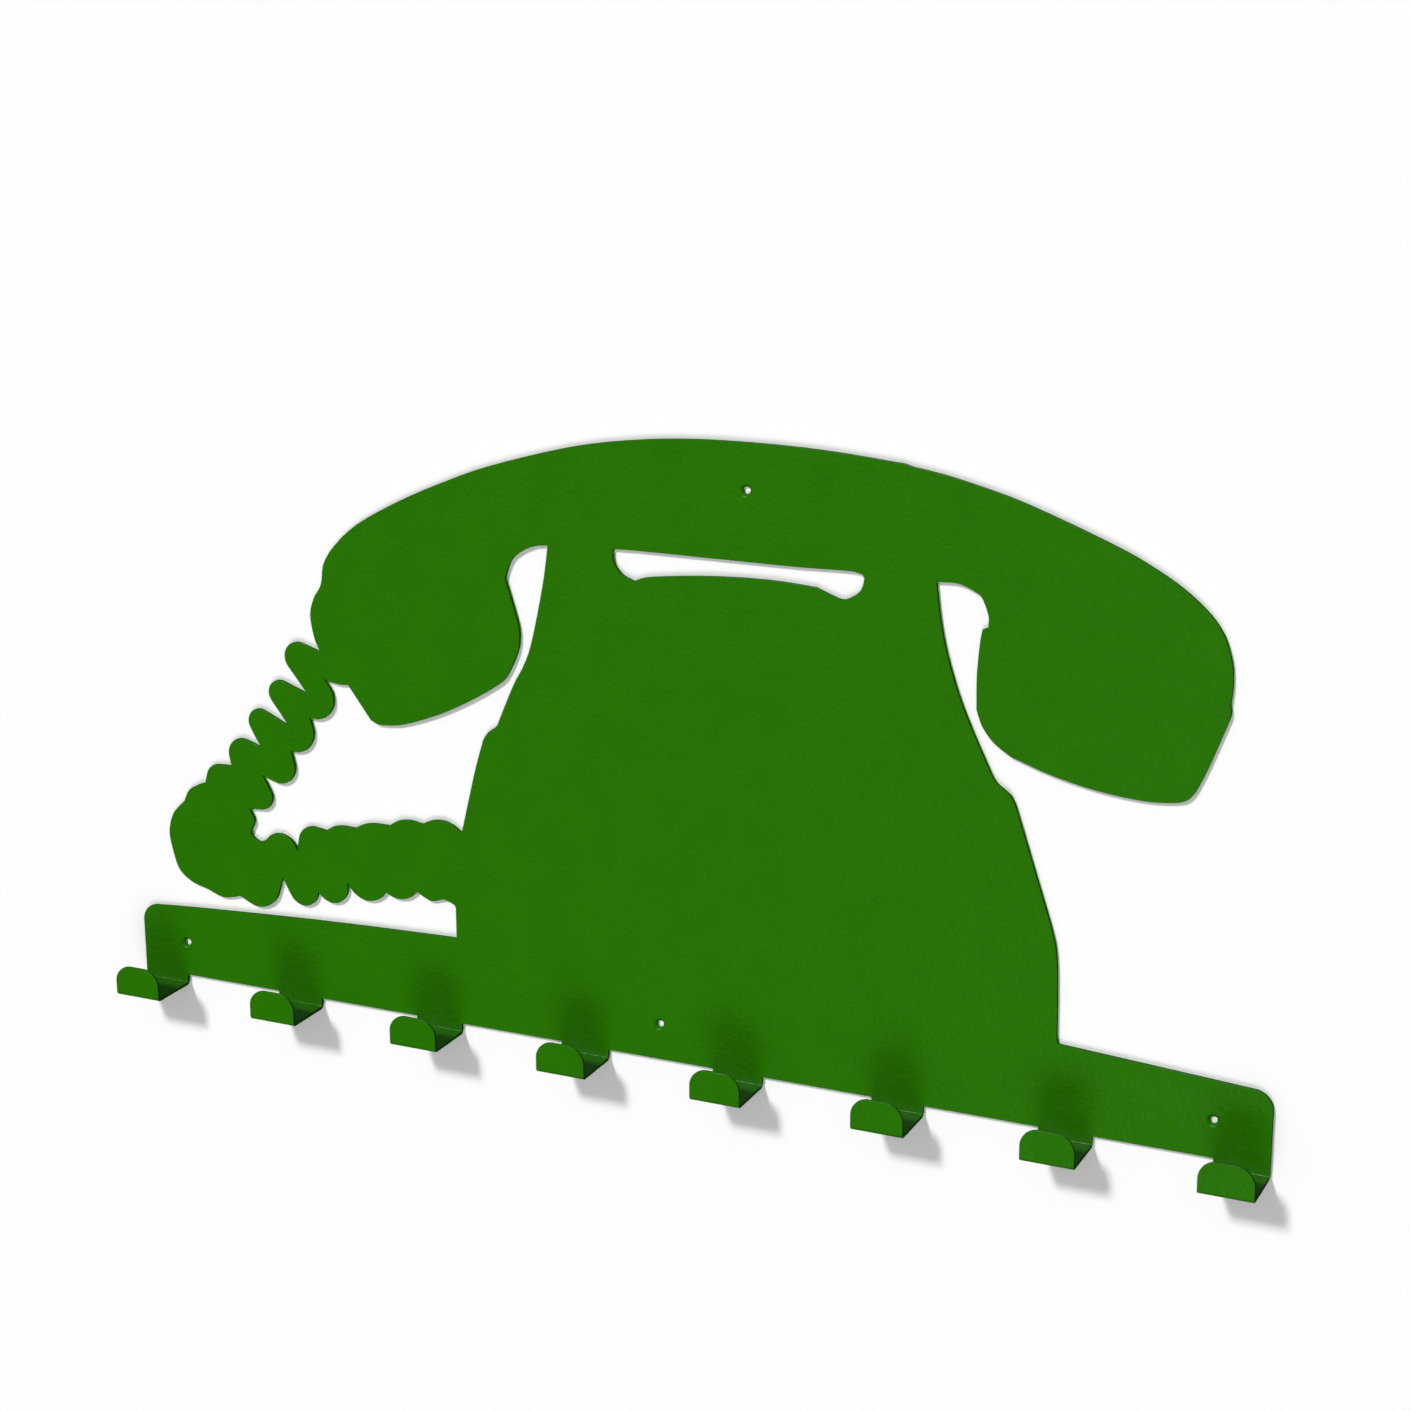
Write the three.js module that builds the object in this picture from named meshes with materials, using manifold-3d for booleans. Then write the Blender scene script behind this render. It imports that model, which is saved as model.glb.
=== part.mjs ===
// Wall rack for coats and keys, cut from one steel sheet to the outline of an old desk telephone.
// A handset lies across the body, its curly cord loops at the left, and a rail runs along the foot.
// Eight strips of the rail's lower edge are folded forward and up as hooks.
// Millimetres: +X to the right, +Y into the wall, +Z up. The back face lies on y = 0, and the
// origin is the middle of the back face's bounding rectangle.
import * as THREE from 'three';
import { mergeVertices } from 'three/addons/utils/BufferGeometryUtils.js';
import Module from 'manifold-3d';

// Driving dimensions
const RAIL_LENGTH = 580;
const SHEET_THICKNESS = 1.5;
const SHEET_TOP = 297; // top of the handset above the rail's lower edge
const CURVE_STEPS = 4;

const HOOK_COUNT = 8;
const HOOK_WIDTH = 25;
const HOOK_DEPTH = 27.5; // back face of the sheet to the front face of the tab
const HOOK_DROP = 5.6; // rail's lower edge down to the underside of the hook's floor
const HOOK_TOP = 10.4; // top of the tab above the rail's lower edge
const TAB_CORNER_RADIUS = 8.5;
const BEND_RADIUS_OUTER = 2;

const RAIL_END_HEIGHT = 34.5;
const RAIL_CORNER_RADIUS = 9;

const HOLE_RADIUS = 1.6;
const COUNTERSINK_RADIUS = 2.9;
const HOLE_FACETS = 24;
const LOWER_HOLE_HEIGHT = 17.5;
const LOWER_HOLE_SPACING = 264.3;
const TOP_HOLE = [44, 275.5];

const CUT_PAST = 1; // how far a cutter runs past the sheet
const MERGE_DISTANCE = 1e-4;
const COAT_COLOUR = 0x287103;
const COAT_ROUGHNESS = 0.45;

const BEND_RADIUS_INNER = BEND_RADIUS_OUTER - SHEET_THICKNESS;
const RAIL_END = RAIL_LENGTH / 2;
const HOOK_PITCH = (RAIL_LENGTH - HOOK_WIDTH) / (HOOK_COUNT - 1);
const MIDDLE_HEIGHT = (SHEET_TOP - HOOK_DROP) / 2;

// Every outline point is [x, height above the rail's lower edge], and every outline keeps the
// sheet on its right hand: the outer edge runs clockwise, and the openings anticlockwise.

// Top of the rail, which rises a little towards the body from both ends
const RAIL_TOP_LEFT = [[-256, 37], [-200, 40.3], [-155, 42.3], [-108, 43.8]];
const RAIL_TOP_RIGHT_START = [193.8, 40.8];

// Lower edge of the cord's level run, from the body to the big bend. Each round turn of the cord
// is [centre x, centre height, radius, x and height of the valley after it].
const CORD_LEAVES_BODY = [-108, 58.5];
const CORD_FOOT_START = [[-108.8, 60.5], [-114.2, 62.4], [-121.5, 60.7], [-129.3, 64.2]];
const CORD_FOOT_TURNS = [
  [-139.3, 71.3, 12.2, -146.5, 61.4],
  [-156.8, 67.4, 11.8, -168.4, 63.6],
  [-177, 60.4, 8.9, -186.1, 56.8],
  [-193.6, 56, 8.3, -205.4, 61],
  [-220, 55.6, 12.4, -231, 47.2],
];

// Outside of the big bend, and the outer ends of the turns that climb from it to the handset
const BIG_BEND = [
  [-241, 45.1], [-251, 48.3], [-259.5, 50.7], [-266.5, 56.3], [-270, 66.5],
  [-271.3, 76], [-268.3, 85.5], [-261.4, 92.8],
];
const BEND_LAST_TURN = [[-258.5, 98.5], [-253.5, 102], [-248.3, 104]];
const CORD_OUTER_TURNS = [
  [-239.7, 107, 7.5, -232.2, 114.8],
  [-225.2, 121.3, 8.3, -214.3, 126.4],
  [-214.3, 139.3, 6.7, -198, 139.3],
  [-202, 155.2, 6.6, -186.7, 156.8],
  [-190.8, 174.2, 7.8, -178.5, 178.5],
];

// Handset, clockwise from the cord
const HANDSET_LEFT_END = [
  [-181.5, 185.5], [-183.1, 196.5], [-180.6, 205], [-176.6, 211.5], [-174.8, 221.4], [-170.6, 228.6],
];
const HANDSET_TOP = [
  [-162, 237.5], [-150.2, 246], [-131.8, 256], [-113, 264.7], [-86, 275.5], [-45.8, 287.3],
  [-16.2, 293], [15.2, 296.2], [50, SHEET_TOP], [84, 296], [118, 293.2],
];
const HANDSET_TOP_STEP = [121, 292.3];
const HANDSET_RIGHT_END = [
  [136, 289.9], [155.4, 285.4], [171, 281], [192, 273.6], [211, 266.3], [223, 261], [236.3, 253.8],
  [246.5, 246.7], [254.5, 239.2], [259.8, 231], [263, 220.5], [263.6, 211], [262.9, 203.2],
];
const EARPIECE_RIM = [[263.5, 199.8], [262, 194.5], [254.4, 174], [249.8, 163.7]];
const EARPIECE_FOOT = [
  [246.8, 160.2], [241.3, 158.2], [228, 157.2], [207.7, 159], [186.2, 163.5], [168.3, 169.4],
];
const EARPIECE_INSIDE = [[160.4, 174.7], [155.1, 181.3], [152.3, 188.5]];
const EARPIECE_BACK = [[152.1, 204], [153.2, 218.4], [154.2, 224.4]];
const EARPIECE_STEP = [156.8, 225.6];
const EARPIECE_ARCH = [[156.6, 231], [153.7, 238], [150.7, 240.4], [143, 243.3], [133, 243.2]];

// Right-hand side of the body, downwards from under the handset
const BODY_RIGHT_SHOULDER = [
  [133.4, 239.7], [135.2, 226.7], [138.2, 212.8], [144, 194.7], [150.8, 178.8], [160.4, 159.3],
];
const BODY_RIGHT_STEP = [[162.8, 156.4], [168.5, 152.2], [171.3, 147.1]];
const BODY_RIGHT_FLANK = [[180.3, 120.2], [189.2, 93.3], [191.6, 82.5], [192.5, 68], [193, 43.5]];

// Opening between handset, cord and body, anticlockwise from where the cord meets the body
const CORD_MEETS_BODY = [-103.6, 97.6];
const BODY_LEFT_FLANK = [[-99.5, 114], [-95.4, 130], [-90.8, 145]];
const BODY_LEFT_STEP = [[-87.7, 149.6], [-83.2, 153]];
const BODY_LEFT_SHOULDER = [[-74.1, 173.5], [-68.4, 183.7], [-63.9, 195.7], [-57.6, 223.2], [-54.7, 241.8]];
const MOUTHPIECE_ARCH = [[-60.6, 241.1], [-66.6, 238.7], [-72, 234.9], [-74.8, 230.7], [-77, 224.1]];
const MOUTHPIECE_BACK = [
  [-70.9, 204], [-70.2, 195.9], [-71.4, 189.6], [-76.4, 179], [-82, 173], [-97.6, 163.2],
  [-115, 154.4], [-132.6, 147.9], [-142, 146.2], [-147.5, 146.1], [-151.6, 147.7],
];
const MOUTHPIECE_FOOT = [[-163.6, 163.8], [-167.8, 163.4], [-172.8, 164], [-177.2, 165.6]];
const CORD_INNER_TURNS = [
  [-182.5, 155, 10.6, -186, 144.6],
  [-194.6, 137, 10.6, -197.5, 126.5],
  [-204.4, 118.1, 8.9, -214.9, 112.4],
  [-216.1, 101.1, 6.8, -223.2, 93.9],
];
const BIG_BEND_INSIDE = [[-220.3, 87.6], [-222.8, 81.2], [-218, 77.6], [-213.6, 79.4]];
const CORD_CREST_TURNS = [
  [-206, 73.5, 9.8, -196.8, 74],
  [-186.5, 80.8, 8.7, -179.3, 88.5],
];
const CORD_CREST_WAVES = [
  [[-174.6, 91.2], [-169.5, 92.2], [-162.7, 92]],
  [[-158.1, 94.4], [-152.5, 95.8], [-143.5, 95.9]],
  [[-138, 99.1], [-131.7, 100.1], [-125.1, 99.2]],
  [[-119.6, 101.7], [-113.8, 102.4], [-108.7, 101], CORD_MEETS_BODY],
];

// Slot between the handset and the cradle, anticlockwise from its upper right corner
const SLOT_TOP = [
  [99.8, 241.7], [99.1, 243], [96.5, 243.8], [91, 244.1], [66.9, 243.5], [-10, 243.6], [-21.6, 243.3],
];
const SLOT_LEFT = [[-21.4, 238], [-19.5, 234.4], [-16.1, 231.5], [-11, 229.5]];
const SLOT_FOOT = [[-5.5, 231.6], [7, 233.4], [22.2, 235], [40.2, 236.1], [59.4, 236.3], [77.5, 235.2]];
const SLOT_RIGHT = [[82.5, 233.3], [89.4, 231.1], [93.6, 232.4], [97.6, 235.3], [99.2, 238.5], SLOT_TOP[0]];

const wasm = await Module();
wasm.setup();

function runThrough(path, points) {
  path.splineThru(points.map(([x, h]) => new THREE.Vector2(x, h)));
}

function lineThrough(path, points) {
  points.forEach(([x, h]) => path.lineTo(x, h));
}

// Runs up to a rounded convex corner and round it, and stops on the edge towards the next point
function roundCorner(path, corner, next, radius) {
  const at = new THREE.Vector2(...corner);
  const back = path.currentPoint.clone().sub(at).normalize();
  const ahead = new THREE.Vector2(...next).sub(at).normalize();
  const halfAngle = Math.acos(back.dot(ahead)) / 2;
  const toCentre = back.clone().add(ahead).normalize().multiplyScalar(radius / Math.sin(halfAngle));
  const centre = at.clone().add(toCentre);
  const reach = radius / Math.tan(halfAngle);
  const start = at.clone().addScaledVector(back, reach);
  path.lineTo(start.x, start.y);
  start.sub(centre);
  const end = at.clone().addScaledVector(ahead, reach).sub(centre);
  path.absarc(centre.x, centre.y, radius, start.angle(), end.angle(), true);
}

// One round turn of the cord: a tangent up to it, the arc round its end and a tangent to the valley
function cordTurn(path, [x, h, radius, valleyX, valleyH]) {
  const centre = new THREE.Vector2(x, h);
  const from = path.currentPoint.clone().sub(centre);
  const to = new THREE.Vector2(valleyX, valleyH).sub(centre);
  const start = from.angle() - tangentAngle(from.length(), radius);
  const end = to.angle() + tangentAngle(to.length(), radius);
  path.absarc(x, h, radius, start, end, true);
  path.lineTo(valleyX, valleyH);
}

function tangentAngle(distance, radius) {
  return Math.acos(Math.min(1, radius / distance));
}

function drawOuterEdge() {
  const edge = new THREE.Shape();
  edge.moveTo(-RAIL_END, 0);
  roundCorner(edge, [-RAIL_END, RAIL_END_HEIGHT], RAIL_TOP_LEFT[0], RAIL_CORNER_RADIUS);
  runThrough(edge, RAIL_TOP_LEFT);
  lineThrough(edge, [CORD_LEAVES_BODY]);
  runThrough(edge, CORD_FOOT_START);
  CORD_FOOT_TURNS.forEach((turn) => cordTurn(edge, turn));
  runThrough(edge, BIG_BEND);
  runThrough(edge, BEND_LAST_TURN);
  CORD_OUTER_TURNS.forEach((turn) => cordTurn(edge, turn));
  runThrough(edge, HANDSET_LEFT_END);
  runThrough(edge, HANDSET_TOP);
  lineThrough(edge, [HANDSET_TOP_STEP]);
  runThrough(edge, HANDSET_RIGHT_END);
  runThrough(edge, EARPIECE_RIM);
  runThrough(edge, EARPIECE_FOOT);
  runThrough(edge, EARPIECE_INSIDE);
  runThrough(edge, EARPIECE_BACK);
  lineThrough(edge, [EARPIECE_STEP]);
  runThrough(edge, EARPIECE_ARCH);
  runThrough(edge, BODY_RIGHT_SHOULDER);
  runThrough(edge, BODY_RIGHT_STEP);
  runThrough(edge, BODY_RIGHT_FLANK);
  lineThrough(edge, [RAIL_TOP_RIGHT_START]);
  roundCorner(edge, [RAIL_END, RAIL_END_HEIGHT], [RAIL_END, 0], RAIL_CORNER_RADIUS);
  lineThrough(edge, [[RAIL_END, 0], [-RAIL_END, 0]]);
  return edge;
}

function drawCordOpening() {
  const opening = new THREE.Path();
  opening.moveTo(...CORD_MEETS_BODY);
  runThrough(opening, BODY_LEFT_FLANK);
  lineThrough(opening, BODY_LEFT_STEP);
  runThrough(opening, BODY_LEFT_SHOULDER);
  runThrough(opening, MOUTHPIECE_ARCH);
  runThrough(opening, MOUTHPIECE_BACK);
  lineThrough(opening, MOUTHPIECE_FOOT);
  CORD_INNER_TURNS.forEach((turn) => cordTurn(opening, turn));
  runThrough(opening, BIG_BEND_INSIDE);
  CORD_CREST_TURNS.forEach((turn) => cordTurn(opening, turn));
  CORD_CREST_WAVES.forEach((wave) => runThrough(opening, wave));
  return opening;
}

function drawCradleSlot() {
  const slot = new THREE.Path();
  slot.moveTo(...SLOT_TOP[0]);
  lineThrough(slot, SLOT_TOP.slice(1));
  runThrough(slot, SLOT_LEFT);
  runThrough(slot, SLOT_FOOT);
  runThrough(slot, SLOT_RIGHT);
  return slot;
}

// Closed solid for joining and cutting: merged corners, and no collapsed triangles
function solidOf(geometry) {
  geometry.deleteAttribute('normal');
  geometry.deleteAttribute('uv');
  const merged = mergeVertices(geometry, MERGE_DISTANCE);
  const triangles = [];
  for (let i = 0; i < merged.index.count; i += 3) {
    const [a, b, c] = [0, 1, 2].map((k) => merged.index.getX(i + k));
    if (a !== b && b !== c && c !== a) {
      triangles.push(a, b, c);
    }
  }
  return new wasm.Manifold(new wasm.Mesh({
    numProp: 3,
    vertProperties: new Float32Array(merged.attributes.position.array),
    triVerts: new Uint32Array(triangles),
  }));
}

function geometryOf(solid) {
  const mesh = solid.getMesh();
  const geometry = new THREE.BufferGeometry();
  geometry.setAttribute('position', new THREE.BufferAttribute(mesh.vertProperties, 3));
  geometry.setIndex(new THREE.BufferAttribute(mesh.triVerts, 1));
  geometry.computeVertexNormals();
  return geometry;
}

// Extrudes an outline drawn in x and height, from the plane y = 0 towards the room
function extrudeForward(outline, depth) {
  const geometry = new THREE.ExtrudeGeometry(outline, {
    depth,
    bevelEnabled: false,
    curveSegments: CURVE_STEPS,
  });
  return geometry.rotateX(Math.PI / 2);
}

// Cutter for one countersunk screw hole: a cone that opens to the front, past both faces
function makeHoleCutter(x, height) {
  const coneDepth = COUNTERSINK_RADIUS - HOLE_RADIUS;
  const profile = [
    [0, CUT_PAST],
    [HOLE_RADIUS, CUT_PAST],
    [HOLE_RADIUS, coneDepth - SHEET_THICKNESS],
    [COUNTERSINK_RADIUS + CUT_PAST, -SHEET_THICKNESS - CUT_PAST],
    [0, -SHEET_THICKNESS - CUT_PAST],
  ].reverse().map(([radius, y]) => new THREE.Vector2(radius, y));
  const cutter = new THREE.LatheGeometry(profile, HOLE_FACETS);
  return cutter.translate(x, 0, height);
}

function makePlateGeometry() {
  const outline = drawOuterEdge();
  outline.holes.push(drawCordOpening(), drawCradleSlot());
  const lowerHoles = [-1, 0, 1].map((side) => [side * LOWER_HOLE_SPACING, LOWER_HOLE_HEIGHT]);
  const plate = [...lowerHoles, TOP_HOLE].reduce(
    (solid, hole) => solid.subtract(solidOf(makeHoleCutter(...hole))),
    solidOf(extrudeForward(outline, SHEET_THICKNESS)),
  );
  return geometryOf(plate);
}

// Side view of a hook, as [distance from the wall, height]: down from the rail, forward and up
function drawHookProfile() {
  const rear = BEND_RADIUS_OUTER;
  const front = HOOK_DEPTH - BEND_RADIUS_OUTER;
  const level = BEND_RADIUS_OUTER - HOOK_DROP;
  const profile = new THREE.Shape();
  profile.moveTo(0, 0);
  profile.lineTo(0, level);
  profile.absarc(rear, level, BEND_RADIUS_OUTER, Math.PI, 1.5 * Math.PI, false);
  profile.absarc(front, level, BEND_RADIUS_OUTER, 1.5 * Math.PI, 2 * Math.PI, false);
  profile.lineTo(HOOK_DEPTH, HOOK_TOP);
  profile.lineTo(HOOK_DEPTH - SHEET_THICKNESS, HOOK_TOP);
  profile.absarc(front, level, BEND_RADIUS_INNER, 2 * Math.PI, 1.5 * Math.PI, true);
  profile.absarc(rear, level, BEND_RADIUS_INNER, 1.5 * Math.PI, Math.PI, true);
  profile.lineTo(SHEET_THICKNESS, 0);
  profile.closePath();
  return profile;
}

// Front view of a hook, which rounds the tab's two upper corners
function drawHookFront() {
  const front = new THREE.Shape();
  front.moveTo(0, -HOOK_DROP - CUT_PAST);
  roundCorner(front, [0, HOOK_TOP], [HOOK_WIDTH, HOOK_TOP], TAB_CORNER_RADIUS);
  roundCorner(front, [HOOK_WIDTH, HOOK_TOP], [HOOK_WIDTH, -HOOK_DROP], TAB_CORNER_RADIUS);
  front.lineTo(HOOK_WIDTH, -HOOK_DROP - CUT_PAST);
  front.closePath();
  return front;
}

function makeHookGeometry() {
  const strip = new THREE.ExtrudeGeometry(drawHookProfile(), {
    depth: HOOK_WIDTH,
    bevelEnabled: false,
    curveSegments: CURVE_STEPS,
  });
  strip.rotateX(Math.PI / 2).rotateZ(-Math.PI / 2).translate(HOOK_WIDTH, 0, 0);
  const front = extrudeForward(drawHookFront(), HOOK_DEPTH + 2 * CUT_PAST);
  front.translate(0, CUT_PAST, 0);
  return geometryOf(solidOf(strip).intersect(solidOf(front)));
}

function addPiece(group, name, geometry, x) {
  const powderCoat = new THREE.MeshStandardMaterial({
    color: COAT_COLOUR,
    roughness: COAT_ROUGHNESS,
    metalness: 0,
  });
  const piece = new THREE.Mesh(geometry, powderCoat);
  piece.name = name;
  piece.position.x = x;
  group.add(piece);
}

const sheet = new THREE.Group();
sheet.position.z = -MIDDLE_HEIGHT;
addPiece(sheet, 'back_plate', makePlateGeometry(), 0);
for (let i = 0; i < HOOK_COUNT; i += 1) {
  addPiece(sheet, `hook_${i + 1}`, makeHookGeometry(), i * HOOK_PITCH - RAIL_END);
}

const rack = new THREE.Group();
rack.add(sheet);

export default rack;
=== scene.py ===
# Wall rack in the outline of an old desk telephone: one folded steel sheet with a green powder coat.
# The sheet is built flat, from the plate's outline and the eight hook strips, with rounded edges. The
# strips are then folded, and the sheet is parted at the fold line into one piece for each CAD node.
import math

import bmesh
import bpy
from mathutils import Matrix, Vector
from mathutils.geometry import tessellate_polygon


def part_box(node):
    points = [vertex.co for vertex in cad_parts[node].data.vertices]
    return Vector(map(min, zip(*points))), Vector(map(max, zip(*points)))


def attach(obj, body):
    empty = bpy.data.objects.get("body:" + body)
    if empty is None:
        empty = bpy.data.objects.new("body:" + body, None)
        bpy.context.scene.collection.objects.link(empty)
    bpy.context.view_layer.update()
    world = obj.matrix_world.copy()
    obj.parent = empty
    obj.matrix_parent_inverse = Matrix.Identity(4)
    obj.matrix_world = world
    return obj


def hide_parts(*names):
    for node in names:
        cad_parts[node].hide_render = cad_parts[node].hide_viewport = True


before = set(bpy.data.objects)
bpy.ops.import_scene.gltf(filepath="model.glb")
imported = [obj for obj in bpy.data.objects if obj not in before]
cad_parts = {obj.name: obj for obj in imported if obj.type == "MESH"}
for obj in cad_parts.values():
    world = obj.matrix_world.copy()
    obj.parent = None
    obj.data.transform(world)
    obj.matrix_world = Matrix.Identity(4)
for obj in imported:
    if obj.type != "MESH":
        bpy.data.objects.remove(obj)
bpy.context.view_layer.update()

MM = 0.001
WELD = 0.001 * MM
OUT_OF_BACK = Vector((0, 1, 0))
UP = Vector((0, 0, 1))

# The sheet, from the CAD
PLATE = "back_plate"
HOOKS = sorted(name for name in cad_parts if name.startswith("hook_"))
PLATE_LOW, PLATE_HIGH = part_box(PLATE)
HOOK_LOW, HOOK_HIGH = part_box(HOOKS[0])
FRONT = PLATE_LOW.y
BACK = PLATE_HIGH.y
THICKNESS = BACK - FRONT
FOLD_Z = PLATE_LOW.z
HOOK_DEPTH = BACK - HOOK_LOW.y

# Folds: the outside radius, and how many steps a quarter turn takes
BEND_OUTER = 2 * MM
BEND_STEPS = 8
BEND_LENGTH = math.pi / 2 * (BEND_OUTER - THICKNESS / 2)

# Flat lengths along a hook strip, from the fold line down
ROOT = FOLD_Z - HOOK_LOW.z - BEND_OUTER
FLOOR = HOOK_DEPTH - 2 * BEND_OUTER
TAB = HOOK_HIGH.z - HOOK_LOW.z - BEND_OUTER
FIRST_BEND = ROOT
FLOOR_START = FIRST_BEND + BEND_LENGTH
SECOND_BEND = FLOOR_START + FLOOR
TAB_START = SECOND_BEND + BEND_LENGTH
STRIP_LENGTH = TAB_START + TAB
TAB_CORNER = 8.5 * MM
CORNER_STEPS = 16

# Edges, rounded by the coat
FRONT_ROUND = 0.25 * MM
BACK_ROUND = 0.2 * MM
ROUND_STEPS = 3
MITRE_LIMIT = 0.4
SHARP_ANGLE = math.radians(40)

# Outline: sides that join at less than this turn lie on one curve
SMOOTH_TURN = math.radians(32)
FINE_TURN = math.radians(3.5)
CURVE_SIDE = 12 * MM
LONG_SIDE = 1.8  # times its neighbours, from where a side counts as straight

# Screw holes
HOLE_SIDES = 48
LARGEST_HOLE = 12 * MM

# Section of a countersunk hole, front to back. Each pair is a radius and a depth added to those of the
# mouth on the front face, of the bore where the cone ends, and of the bore on the back face.
MOUTH_SECTION = [(0.2 * MM, 0), (0.05 * MM, 0.03 * MM), (-0.1 * MM, 0.13 * MM)]
CONE_END_SECTION = [(0.1 * MM, -0.12 * MM), (0, 0.06 * MM)]
BORE_END_SECTION = [(0, -0.1 * MM), (0.08 * MM, 0)]


def flat_face_loops(node, y):
    """Border loops of a node's flat face on the plane y, as lists of points (x, z)."""
    bm = bmesh.new()
    bm.from_mesh(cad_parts[node].data)
    bmesh.ops.remove_doubles(bm, verts=bm.verts, dist=WELD)
    elsewhere = [f for f in bm.faces if any(abs(v.co.y - y) > WELD for v in f.verts)]
    bmesh.ops.delete(bm, geom=elsewhere, context="FACES")
    unused = dict.fromkeys(e for e in bm.edges if e.is_boundary)
    loops = []
    while unused:
        edge = next(iter(unused))
        del unused[edge]
        first, at = edge.verts
        points = [first.co.xz]
        while at is not first:
            points.append(at.co.xz)
            edge = next(e for e in at.link_edges if e in unused)
            del unused[edge]
            at = edge.other_vert(at)
        loops.append(points)
    bm.free()
    return loops


def signed_area(points):
    return sum(a.cross(b) for a, b in zip(points, points[1:] + points[:1])) / 2


def sheet_on_left(points, is_outer):
    """The outer edge runs anticlockwise and an opening clockwise, seen from the room."""
    return points if (signed_area(points) > 0) == is_outer else points[::-1]


def size_of(points):
    return max(p.x for p in points) - min(p.x for p in points)


def turn_at(points, i):
    before = points[i] - points[i - 1]
    after = points[(i + 1) % len(points)] - points[i]
    return math.atan2(before.cross(after), before.dot(after))


def side_turn(points, turns, i):
    """How far the curve turns along the side from point i, or 0 where the side is straight."""
    j = (i + 1) % len(points)
    side = (points[j] - points[i]).length
    before = (points[i] - points[i - 1]).length
    after = (points[(j + 1) % len(points)] - points[j]).length
    if side > CURVE_SIDE or side > LONG_SIDE * max(before, after):
        return 0.0
    smooth = [t for t in (turns[i], turns[j]) if abs(t) < SMOOTH_TURN]
    if not smooth:
        return 0.0
    return sum(smooth) / len(smooth)


def refine(points):
    """Adds a point to the middle of each curved side, pushed out onto the arc of its neighbours."""
    turns = [turn_at(points, i) for i in range(len(points))]
    finer = []
    for i, here in enumerate(points):
        finer.append(here)
        turn = side_turn(points, turns, i)
        if abs(turn) > FINE_TURN:
            side = points[(i + 1) % len(points)] - here
            outward = Vector((side.y, -side.x))
            finer.append(here + side / 2 + outward / 2 * math.tan(turn / 4))
    return finer


def arc(centre, radius, start, end, steps):
    angles = [start + (end - start) * k / steps for k in range(steps + 1)]
    return [centre + radius * Vector((math.cos(a), math.sin(a))) for a in angles]


def strip_outline(left, right):
    """Flat outline of a hook strip, down from the fold line, round its end and up again."""
    end = FOLD_Z - STRIP_LENGTH
    left_centre = Vector((left + TAB_CORNER, end + TAB_CORNER))
    right_centre = Vector((right - TAB_CORNER, end + TAB_CORNER))
    points = [Vector((left, FOLD_Z))]
    points += arc(left_centre, TAB_CORNER, math.pi, 1.5 * math.pi, CORNER_STEPS)
    points += arc(right_centre, TAB_CORNER, 1.5 * math.pi, 2 * math.pi, CORNER_STEPS)
    points.append(Vector((right, FOLD_Z)))
    return points


def with_strips(outline):
    """The plate's outer edge with the hook strips added along the fold line."""
    count = len(outline)
    lengths = [(outline[(i + 1) % count] - outline[i]).length for i in range(count)]
    rail = lengths.index(max(lengths))
    blank = outline[:rail + 1]
    for hook in HOOKS:
        low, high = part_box(hook)
        blank += strip_outline(low.x, high.x)
    blank += outline[rail + 1:]
    return [p for i, p in enumerate(blank) if (p - blank[i - 1]).length > WELD]


def moved_into_sheet(points, distance):
    """The loop moved sideways into the sheet. Sides too short for the move close to a point."""
    count = len(points)
    moved = []
    for i, here in enumerate(points):
        before = (here - points[i - 1]).normalized()
        after = (points[(i + 1) % count] - here).normalized()
        inward = Vector((-before.y - after.y, before.x + after.x)).normalized()
        reach = max(inward.dot(Vector((-after.y, after.x))), MITRE_LIMIT)
        moved.append(here + inward * distance / reach)
    for i in range(count):
        j = (i + 1) % count
        if (points[j] - points[i]).dot(moved[j] - moved[i]) < 0:
            moved[i] = moved[j] = (moved[i] + moved[j]) / 2
    return moved


def edge_profile():
    """Section of a sheet edge as (share of FRONT_ROUND into the sheet, y), front to back."""
    quarter = [math.pi / 2 * k / ROUND_STEPS for k in range(ROUND_STEPS + 1)]
    front = [(1 - math.sin(a), FRONT + FRONT_ROUND * (1 - math.cos(a))) for a in quarter]
    share = BACK_ROUND / FRONT_ROUND
    back = [(share * (1 - math.cos(a)), BACK - BACK_ROUND * (1 - math.sin(a))) for a in quarter]
    return front + back


def edge_rings(bm, points):
    """Rings of vertices down a rounded sheet edge, from the front face to the back face."""
    inner = moved_into_sheet(points, FRONT_ROUND)
    rings = []
    for share, y in edge_profile():
        places = [p.lerp(q, share) for p, q in zip(points, inner)]
        rings.append([bm.verts.new((p.x, y, p.y)) for p in places])
    return rings


def hole_rings(bm, centre, mouth, bore):
    """Rings down a countersunk hole: a softened mouth, the cone and the bore."""
    cone_end = FRONT + mouth - bore
    section = [(mouth + radius, FRONT + depth) for radius, depth in MOUTH_SECTION]
    section += [(bore + radius, cone_end + depth) for radius, depth in CONE_END_SECTION]
    section += [(bore + radius, BACK + depth) for radius, depth in BORE_END_SECTION]
    rings = []
    for radius, y in section:
        ring = arc(centre, radius, 2 * math.pi, 0, HOLE_SIDES)[:-1]
        rings.append([bm.verts.new((p.x, y, p.y)) for p in ring])
    return rings


def wall_between(bm, rings):
    for front, back in zip(rings, rings[1:]):
        for i in range(len(front)):
            bm.faces.new((front[i], front[i - 1], back[i - 1], back[i]))


def turn_towards(faces, way):
    """Turns over the faces that look away from a direction."""
    for face in faces:
        face.normal_update()
        if face.normal.dot(way) < 0:
            face.normal_flip()


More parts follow.
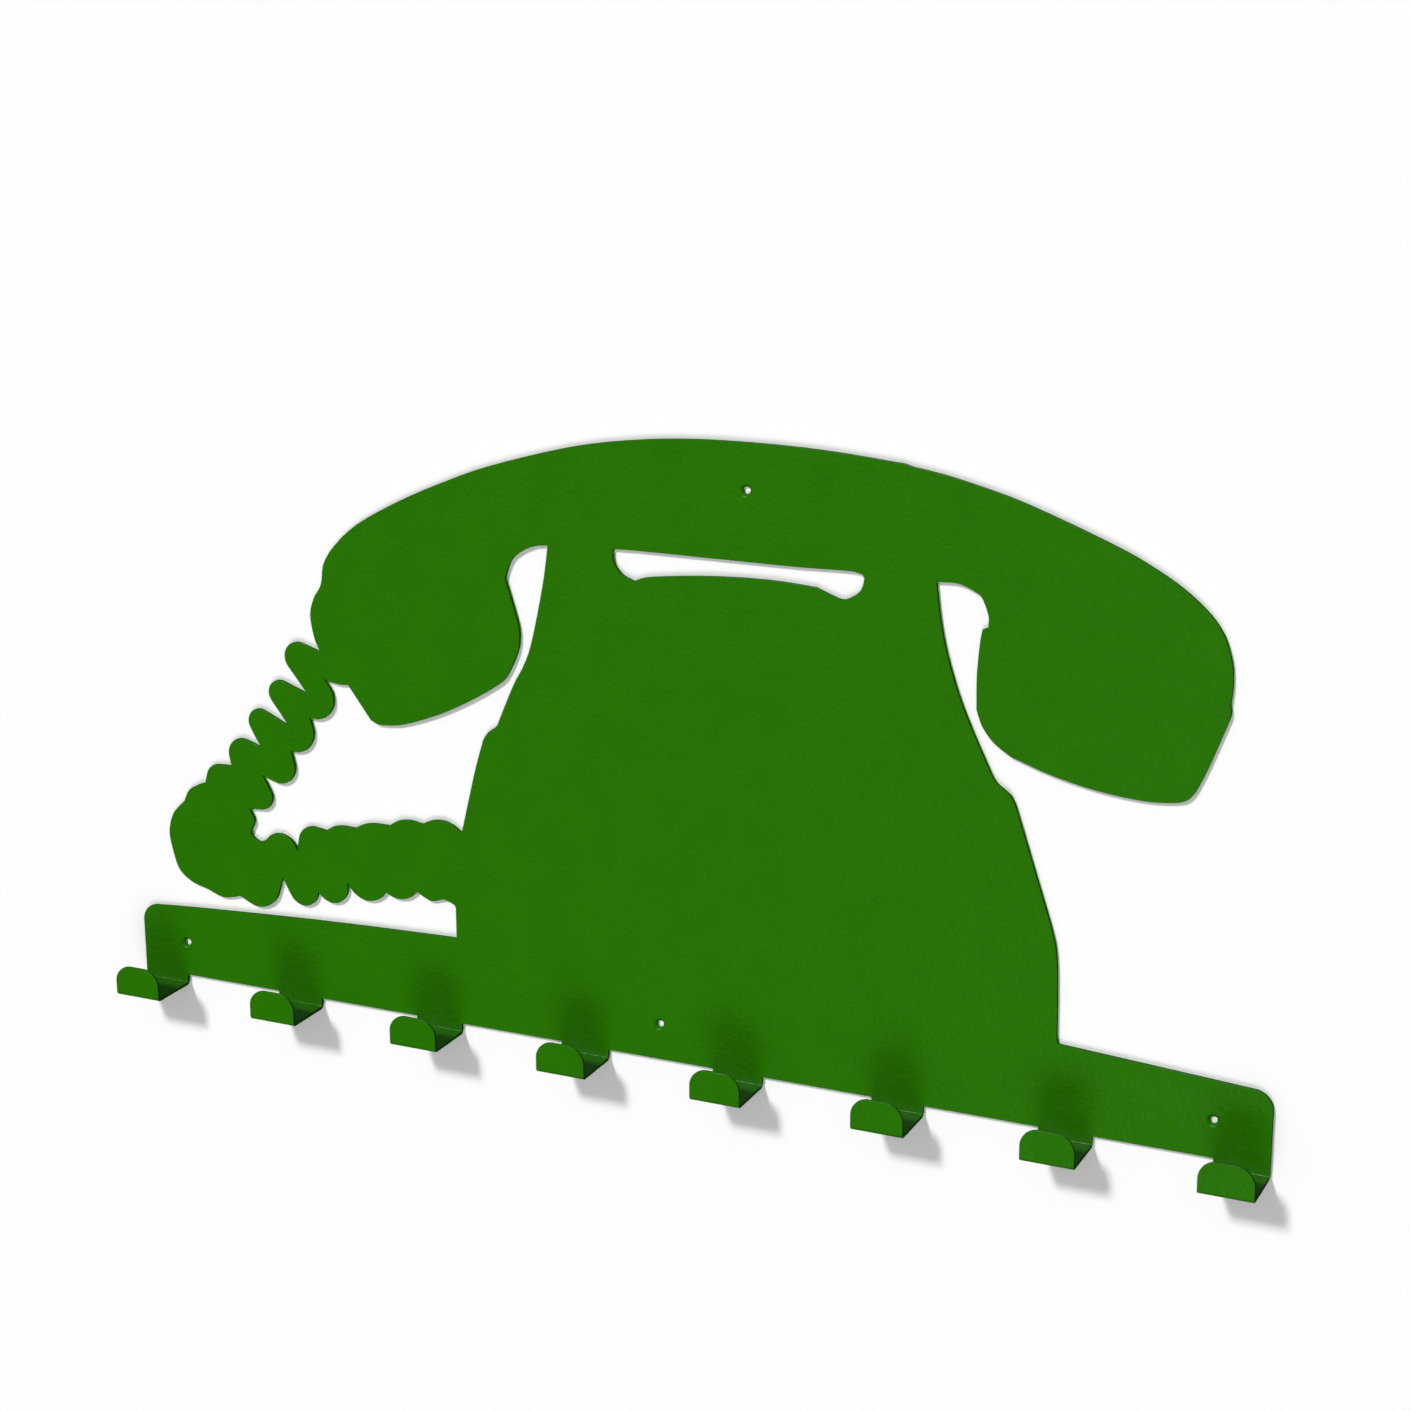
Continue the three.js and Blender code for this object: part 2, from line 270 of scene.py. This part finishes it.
def cap(bm, rings):
    """Closes a face of the sheet across its outer ring and the rings of its openings."""
    verts = [v for ring in rings for v in ring]
    triangles = tessellate_polygon([[v.co for v in ring] for ring in rings])
    faces = [bm.faces.new([verts[i] for i in corners]) for corners in triangles]
    own = set(faces)
    edges = dict.fromkeys(e for f in faces for e in f.edges)
    inner = [e for e in edges if e.is_manifold and all(f in own for f in e.link_faces)]
    bmesh.ops.beautify_fill(bm, faces=faces, edges=inner, method="ANGLE")


def on_side(co, y):
    return abs(co.y - y) < WELD


def screw_holes():
    """Centre, mouth radius and bore radius of each countersunk hole."""
    mouths = [p for p in flat_face_loops(PLATE, FRONT) if size_of(p) < LARGEST_HOLE]
    bores = [p for p in flat_face_loops(PLATE, BACK) if size_of(p) < LARGEST_HOLE]
    bore = size_of(bores[0]) / 2
    return [(sum(p, Vector((0, 0))) / len(p), size_of(p) / 2, bore) for p in mouths]


def make_blank():
    """The flat sheet with its strips, openings and holes, as a closed mesh."""
    loops = [p for p in flat_face_loops(PLATE, FRONT) if size_of(p) > LARGEST_HOLE]
    loops.sort(key=size_of, reverse=True)
    outer = with_strips(sheet_on_left(loops[0], True))
    openings = [sheet_on_left(p, False) for p in loops[1:]]
    bm = bmesh.new()
    every_ring = [edge_rings(bm, refine(refine(p))) for p in [outer] + openings]
    every_ring += [hole_rings(bm, *hole) for hole in screw_holes()]
    for rings in every_ring:
        wall_between(bm, rings)
    cap(bm, [rings[0] for rings in every_ring])
    cap(bm, [rings[-1] for rings in every_ring])
    bmesh.ops.remove_doubles(bm, verts=bm.verts, dist=WELD)
    for y, way in ((FRONT, -OUT_OF_BACK), (BACK, OUT_OF_BACK)):
        turn_towards([f for f in bm.faces if all(on_side(v.co, y) for v in f.verts)], way)
    return bm


def cut_across(bm, distance):
    """Adds an edge across everything at a distance below the fold line."""
    bmesh.ops.bisect_plane(
        bm,
        geom=bm.verts[:] + bm.edges[:] + bm.faces[:],
        dist=WELD / 10,
        plane_co=(0, 0, FOLD_Z - distance),
        plane_no=(0, 0, 1),
    )


def folded(co):
    """Where a point of the flat strip lies on the folded hook."""
    distance = FOLD_Z - co.z
    radius = co.y - BACK + BEND_OUTER
    rear = Vector((BACK - BEND_OUTER, FOLD_Z - ROOT))
    front = Vector((BACK - HOOK_DEPTH + BEND_OUTER, FOLD_Z - ROOT))
    if distance < FIRST_BEND:
        return co.copy()
    if distance < FLOOR_START:
        angle = (distance - FIRST_BEND) / BEND_LENGTH * math.pi / 2
        place = rear + radius * Vector((math.cos(angle), -math.sin(angle)))
    elif distance < SECOND_BEND:
        place = rear + Vector((FLOOR_START - distance, -radius))
    elif distance < TAB_START:
        angle = (distance - SECOND_BEND) / BEND_LENGTH * math.pi / 2
        place = front + radius * Vector((-math.sin(angle), -math.cos(angle)))
    else:
        place = front + Vector((-radius, distance - TAB_START))
    return Vector((co.x, place.x, place.y))


def bend_angle(distance):
    """How far the strip has turned at a distance below the fold line."""
    turns = [(distance - start) / BEND_LENGTH for start in (FIRST_BEND, SECOND_BEND)]
    return math.pi / 2 * sum(min(max(turn, 0), 1) for turn in turns)


def face_normal(co):
    """Normal at a point of the flat sheet's front or back once it is folded, or zero elsewhere."""
    angle = bend_angle(FOLD_Z - co.z)
    outward = Vector((0, -math.cos(angle), math.sin(angle)))
    if on_side(co, FRONT):
        return outward
    if on_side(co, BACK):
        return -outward
    return Vector((0, 0, 0))


def in_seam(mesh, polygon):
    return all(abs(mesh.vertices[i].co.z - FOLD_Z) < WELD for i in polygon.vertices)


def set_normals(mesh, normals):
    """Exact normals on the sheet's two faces. Edges and holes keep their own."""
    by_corner = [Vector((0, 0, 0)) for corner in mesh.loops]
    for polygon in mesh.polygons:
        if not in_seam(mesh, polygon):
            for corner in polygon.loop_indices:
                by_corner[corner] = normals[mesh.loops[corner].vertex_index]
    mesh.normals_split_custom_set(by_corner)


def part_of(blank, name, belongs):
    """One piece of the blank: its own faces, closed where it was parted from its neighbours."""
    bm = blank.copy()
    others = [f for f in bm.faces if not belongs(f.calc_center_median())]
    bmesh.ops.delete(bm, geom=others, context="FACES")
    parted = [e for e in bm.edges if e.is_boundary]
    seam = bmesh.ops.holes_fill(bm, edges=parted, sides=0)["faces"]
    turn_towards(seam, -UP if name == PLATE else UP)
    for face in bm.faces:
        face.smooth = True
    for face in seam:
        face.smooth = False
    normals = [face_normal(vert.co) for vert in bm.verts]
    for vert in bm.verts:
        if vert.co.z < FOLD_Z:
            vert.co = folded(vert.co)
    mesh = bpy.data.meshes.new("coated_" + name)
    bm.to_mesh(mesh)
    bm.free()
    mesh.set_sharp_from_angle(angle=SHARP_ANGLE)
    set_normals(mesh, normals)
    piece = bpy.data.objects.new("coated_" + name, mesh)
    bpy.context.scene.collection.objects.link(piece)
    return piece


def make_sheet():
    """The folded sheet, as one piece for the plate and one for each hook."""
    blank = make_blank()
    cut_across(blank, 0)
    for bend in (FIRST_BEND, SECOND_BEND):
        for step in range(BEND_STEPS + 1):
            cut_across(blank, bend + BEND_LENGTH * step / BEND_STEPS)
    pieces = {PLATE: part_of(blank, PLATE, lambda c: c.z > FOLD_Z - WELD)}
    for hook in HOOKS:
        left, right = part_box(hook)[0].x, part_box(hook)[1].x
        pieces[hook] = part_of(
            blank, hook, lambda c: c.z < FOLD_Z - WELD and left < c.x < right
        )
    blank.free()
    return pieces


# Powder coat
COAT_COLOUR = (0.0192, 0.157, 0.0003, 1)
COAT_COLOUR_THIN = (0.0184, 0.150, 0.0003, 1)
COAT_ROUGHNESS = (0.27, 0.34)
COAT_SPECULAR = 0.35
CLOUD_SCALE = 45
CLOUD_DETAIL = 4
CLOUD_RANGE = (0.35, 0.6)
PEEL_SCALE = 520
PEEL_DETAIL = 2
PEEL_RANGE = (0.3, 0.7)
PEEL_DEPTH = 0.5 * MM
GRAIN_SCALE = 2400
GRAIN_DETAIL = 1
GRAIN_DEPTH = 0.02 * MM
GRAIN_STRENGTH = 0.25


def node(tree, kind, **inputs):
    made = tree.nodes.new(kind)
    for name, value in inputs.items():
        made.inputs[name.replace("_", " ")].default_value = value
    return made


def noise(tree, where, scale, detail):
    made = node(tree, "ShaderNodeTexNoise", Scale=scale, Detail=detail, Roughness=0.5)
    tree.links.new(where.outputs["Object"], made.inputs["Vector"])
    return made


def remapped(tree, source, low_high, **to):
    """A noise's middle range stretched to 0 and 1, or to the values given."""
    made = node(tree, "ShaderNodeMapRange", From_Min=low_high[0], From_Max=low_high[1], **to)
    tree.links.new(source.outputs["Fac"], made.inputs["Value"])
    return made


def add_colour(tree, where, shader):
    colour = node(tree, "ShaderNodeMix")
    colour.data_type = "RGBA"
    colour.inputs["A"].default_value = COAT_COLOUR_THIN
    colour.inputs["B"].default_value = COAT_COLOUR
    share = remapped(tree, noise(tree, where, CLOUD_SCALE, CLOUD_DETAIL), CLOUD_RANGE)
    tree.links.new(share.outputs["Result"], colour.inputs["Factor"])
    tree.links.new(colour.outputs["Result"], shader.inputs["Base Color"])


def add_gloss(tree, peel, shader):
    low, high = COAT_ROUGHNESS
    gloss = remapped(tree, peel, PEEL_RANGE, To_Min=low, To_Max=high)
    tree.links.new(gloss.outputs["Result"], shader.inputs["Roughness"])


def add_relief(tree, where, peel, shader):
    grain = noise(tree, where, GRAIN_SCALE, GRAIN_DETAIL)
    fine = node(tree, "ShaderNodeBump", Strength=GRAIN_STRENGTH, Distance=GRAIN_DEPTH)
    tree.links.new(grain.outputs["Fac"], fine.inputs["Height"])
    coarse = node(tree, "ShaderNodeBump", Strength=1.0, Distance=PEEL_DEPTH)
    tree.links.new(peel.outputs["Fac"], coarse.inputs["Height"])
    tree.links.new(fine.outputs["Normal"], coarse.inputs["Normal"])
    tree.links.new(coarse.outputs["Normal"], shader.inputs["Normal"])


def make_powder_coat():
    """Half-matt green powder coat: faint colour clouds, orange peel that varies the gloss, and a grain."""
    material = bpy.data.materials.new("green powder coat")
    material.use_nodes = True
    tree = material.node_tree
    shader = tree.nodes["Principled BSDF"]
    shader.inputs["Specular IOR Level"].default_value = COAT_SPECULAR
    where = tree.nodes.new("ShaderNodeTexCoord")
    peel = noise(tree, where, PEEL_SCALE, PEEL_DETAIL)
    add_colour(tree, where, shader)
    add_gloss(tree, peel, shader)
    add_relief(tree, where, peel, shader)
    return material


def coat(pieces):
    material = make_powder_coat()
    for name, piece in pieces.items():
        piece.data.materials.append(material)
        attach(piece, "root")
        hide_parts(name)


# Room: a white wall that shows only from the front, a pale floor, and the light
WALL_GAP = 0.9 * MM
WALL_SIZE = 12
FLOOR_Z = -1.2
FLOOR_SIZE = 4
WALL_COLOUR = (0.9, 0.9, 0.9, 1)
WALL_ROUGHNESS = 0.9
FLOOR_COLOUR = (0.93, 0.93, 0.92, 1)
FLOOR_ROUGHNESS = 0.8


def make_plane(name, size, matrix):
    mesh = bpy.data.meshes.new(name)
    half = size / 2
    corners = [(-half, -half, 0), (half, -half, 0), (half, half, 0), (-half, half, 0)]
    mesh.from_pydata([matrix @ Vector(c) for c in corners], [], [(0, 1, 2, 3)])
    plane = bpy.data.objects.new(name, mesh)
    bpy.context.scene.collection.objects.link(plane)
    return plane


def make_wall_paint():
    """White paint on the room side. The other side is clear, so the sheet's back can be seen."""
    material = bpy.data.materials.new("wall paint")
    material.use_nodes = True
    tree = material.node_tree
    paint = tree.nodes["Principled BSDF"]
    paint.inputs["Base Color"].default_value = WALL_COLOUR
    paint.inputs["Roughness"].default_value = WALL_ROUGHNESS
    paint.inputs["Specular IOR Level"].default_value = 0.0
    clear = tree.nodes.new("ShaderNodeBsdfTransparent")
    side = tree.nodes.new("ShaderNodeNewGeometry")
    choice = tree.nodes.new("ShaderNodeMixShader")
    tree.links.new(side.outputs["Backfacing"], choice.inputs["Fac"])
    tree.links.new(paint.outputs["BSDF"], choice.inputs[1])
    tree.links.new(clear.outputs["BSDF"], choice.inputs[2])
    output = tree.nodes["Material Output"]
    tree.links.new(choice.outputs["Shader"], output.inputs["Surface"])
    return material


def make_floor_paint():
    material = bpy.data.materials.new("pale floor")
    material.use_nodes = True
    shader = material.node_tree.nodes["Principled BSDF"]
    shader.inputs["Base Color"].default_value = FLOOR_COLOUR
    shader.inputs["Roughness"].default_value = FLOOR_ROUGHNESS
    return material


def keep_out_of_light(plane):
    """The plane is seen, but adds nothing to the light on the sheet and takes nothing from it."""
    plane.visible_diffuse = False
    plane.visible_glossy = False
    plane.visible_shadow = False


def add_room():
    upright = Matrix.Translation((0, BACK + WALL_GAP, 0)) @ Matrix.Rotation(math.pi / 2, 4, "X")
    wall = make_plane("wall", WALL_SIZE, upright)
    wall.data.materials.append(make_wall_paint())
    keep_out_of_light(wall)
    floor = make_plane("floor", FLOOR_SIZE, Matrix.Translation((0, 0, FLOOR_Z)))
    floor.data.materials.append(make_floor_paint())
    keep_out_of_light(floor)


# Light, by azimuth from straight in front, positive to the right, and by elevation, in degrees
KEY = {"azimuth": -17, "elevation": 39, "width": 8, "strength": 2.3}
LOW_FILL = {"azimuth": 0.5, "elevation": -31, "width": 14, "strength": 0.085}
LOW_LIGHT = {"azimuth": 4, "elevation": -37, "width": 34, "strength": 1.0, "shine": False}
SOFT_LIGHT = {"azimuth": 8, "elevation": 10, "width": 150, "strength": 0.86, "shine": False}
BACK_LIGHT = {"azimuth": 180, "elevation": 0, "width": 0, "strength": 2.8, "shine": False}
SKY_STRENGTH = 0.015
SKY_SEEN = 0.95


def direction(azimuth, elevation):
    a, e = math.radians(azimuth), math.radians(elevation)
    return Vector((math.sin(a) * math.cos(e), -math.cos(a) * math.cos(e), math.sin(e)))


def add_sun(name, azimuth, elevation, width, strength, shine=True):
    lamp = bpy.data.lights.new(name, "SUN")
    lamp.angle = math.radians(width)
    lamp.energy = strength
    lamp.cycles.use_multiple_importance_sampling = shine
    sun = bpy.data.objects.new(name, lamp)
    towards = direction(azimuth, elevation)
    sun.rotation_euler = towards.to_track_quat("Z", "Y").to_euler()
    sun.visible_glossy = shine
    bpy.context.scene.collection.objects.link(sun)


def add_sky():
    """A faint even light that looks pale to the camera and is left out of reflections."""
    world = bpy.data.worlds.new("studio")
    bpy.context.scene.world = world
    world.cycles_visibility.glossy = False
    world.use_nodes = True
    tree = world.node_tree
    background = tree.nodes["Background"]
    background.inputs["Color"].default_value = (1, 1, 1, 1)
    ray = tree.nodes.new("ShaderNodeLightPath")
    seen = node(tree, "ShaderNodeMapRange")
    seen.inputs["To Min"].default_value = SKY_STRENGTH
    seen.inputs["To Max"].default_value = SKY_SEEN
    tree.links.new(ray.outputs["Is Camera Ray"], seen.inputs["Value"])
    tree.links.new(seen.outputs["Result"], background.inputs["Strength"])


def add_light():
    add_sun("key", **KEY)
    add_sun("low fill", **LOW_FILL)
    add_sun("soft light", **SOFT_LIGHT)
    add_sun("low light", **LOW_LIGHT)
    add_sun("back light", **BACK_LIGHT)
    add_sky()


# Camera: where it stands from the middle of the sheet's back, and how it looks at it
CAMERA_PLACE = Vector((0.54352, -1.12983, 0.38647))
CAMERA_AZIMUTH = 24.738
CAMERA_ELEVATION = 16.018
CAMERA_ROLL = -0.196
CAMERA_LENS = 73.39
SENSOR_WIDTH = 36
CAMERA_SHIFT = 0.0007


def add_camera():
    data = bpy.data.cameras.new("camera")
    data.lens = CAMERA_LENS
    data.sensor_width = SENSOR_WIDTH
    data.shift_x = CAMERA_SHIFT
    camera = bpy.data.objects.new("camera", data)
    turn = Matrix.Rotation(math.radians(CAMERA_AZIMUTH), 4, "Z")
    tilt = Matrix.Rotation(math.radians(90 - CAMERA_ELEVATION), 4, "X")
    roll = Matrix.Rotation(math.radians(CAMERA_ROLL), 4, "Z")
    camera.matrix_world = Matrix.Translation(CAMERA_PLACE) @ turn @ tilt @ roll
    scene = bpy.context.scene
    scene.collection.objects.link(camera)
    scene.camera = camera
    scene.view_settings.view_transform = "Standard"


coat(make_sheet())
add_room()
add_light()
add_camera()
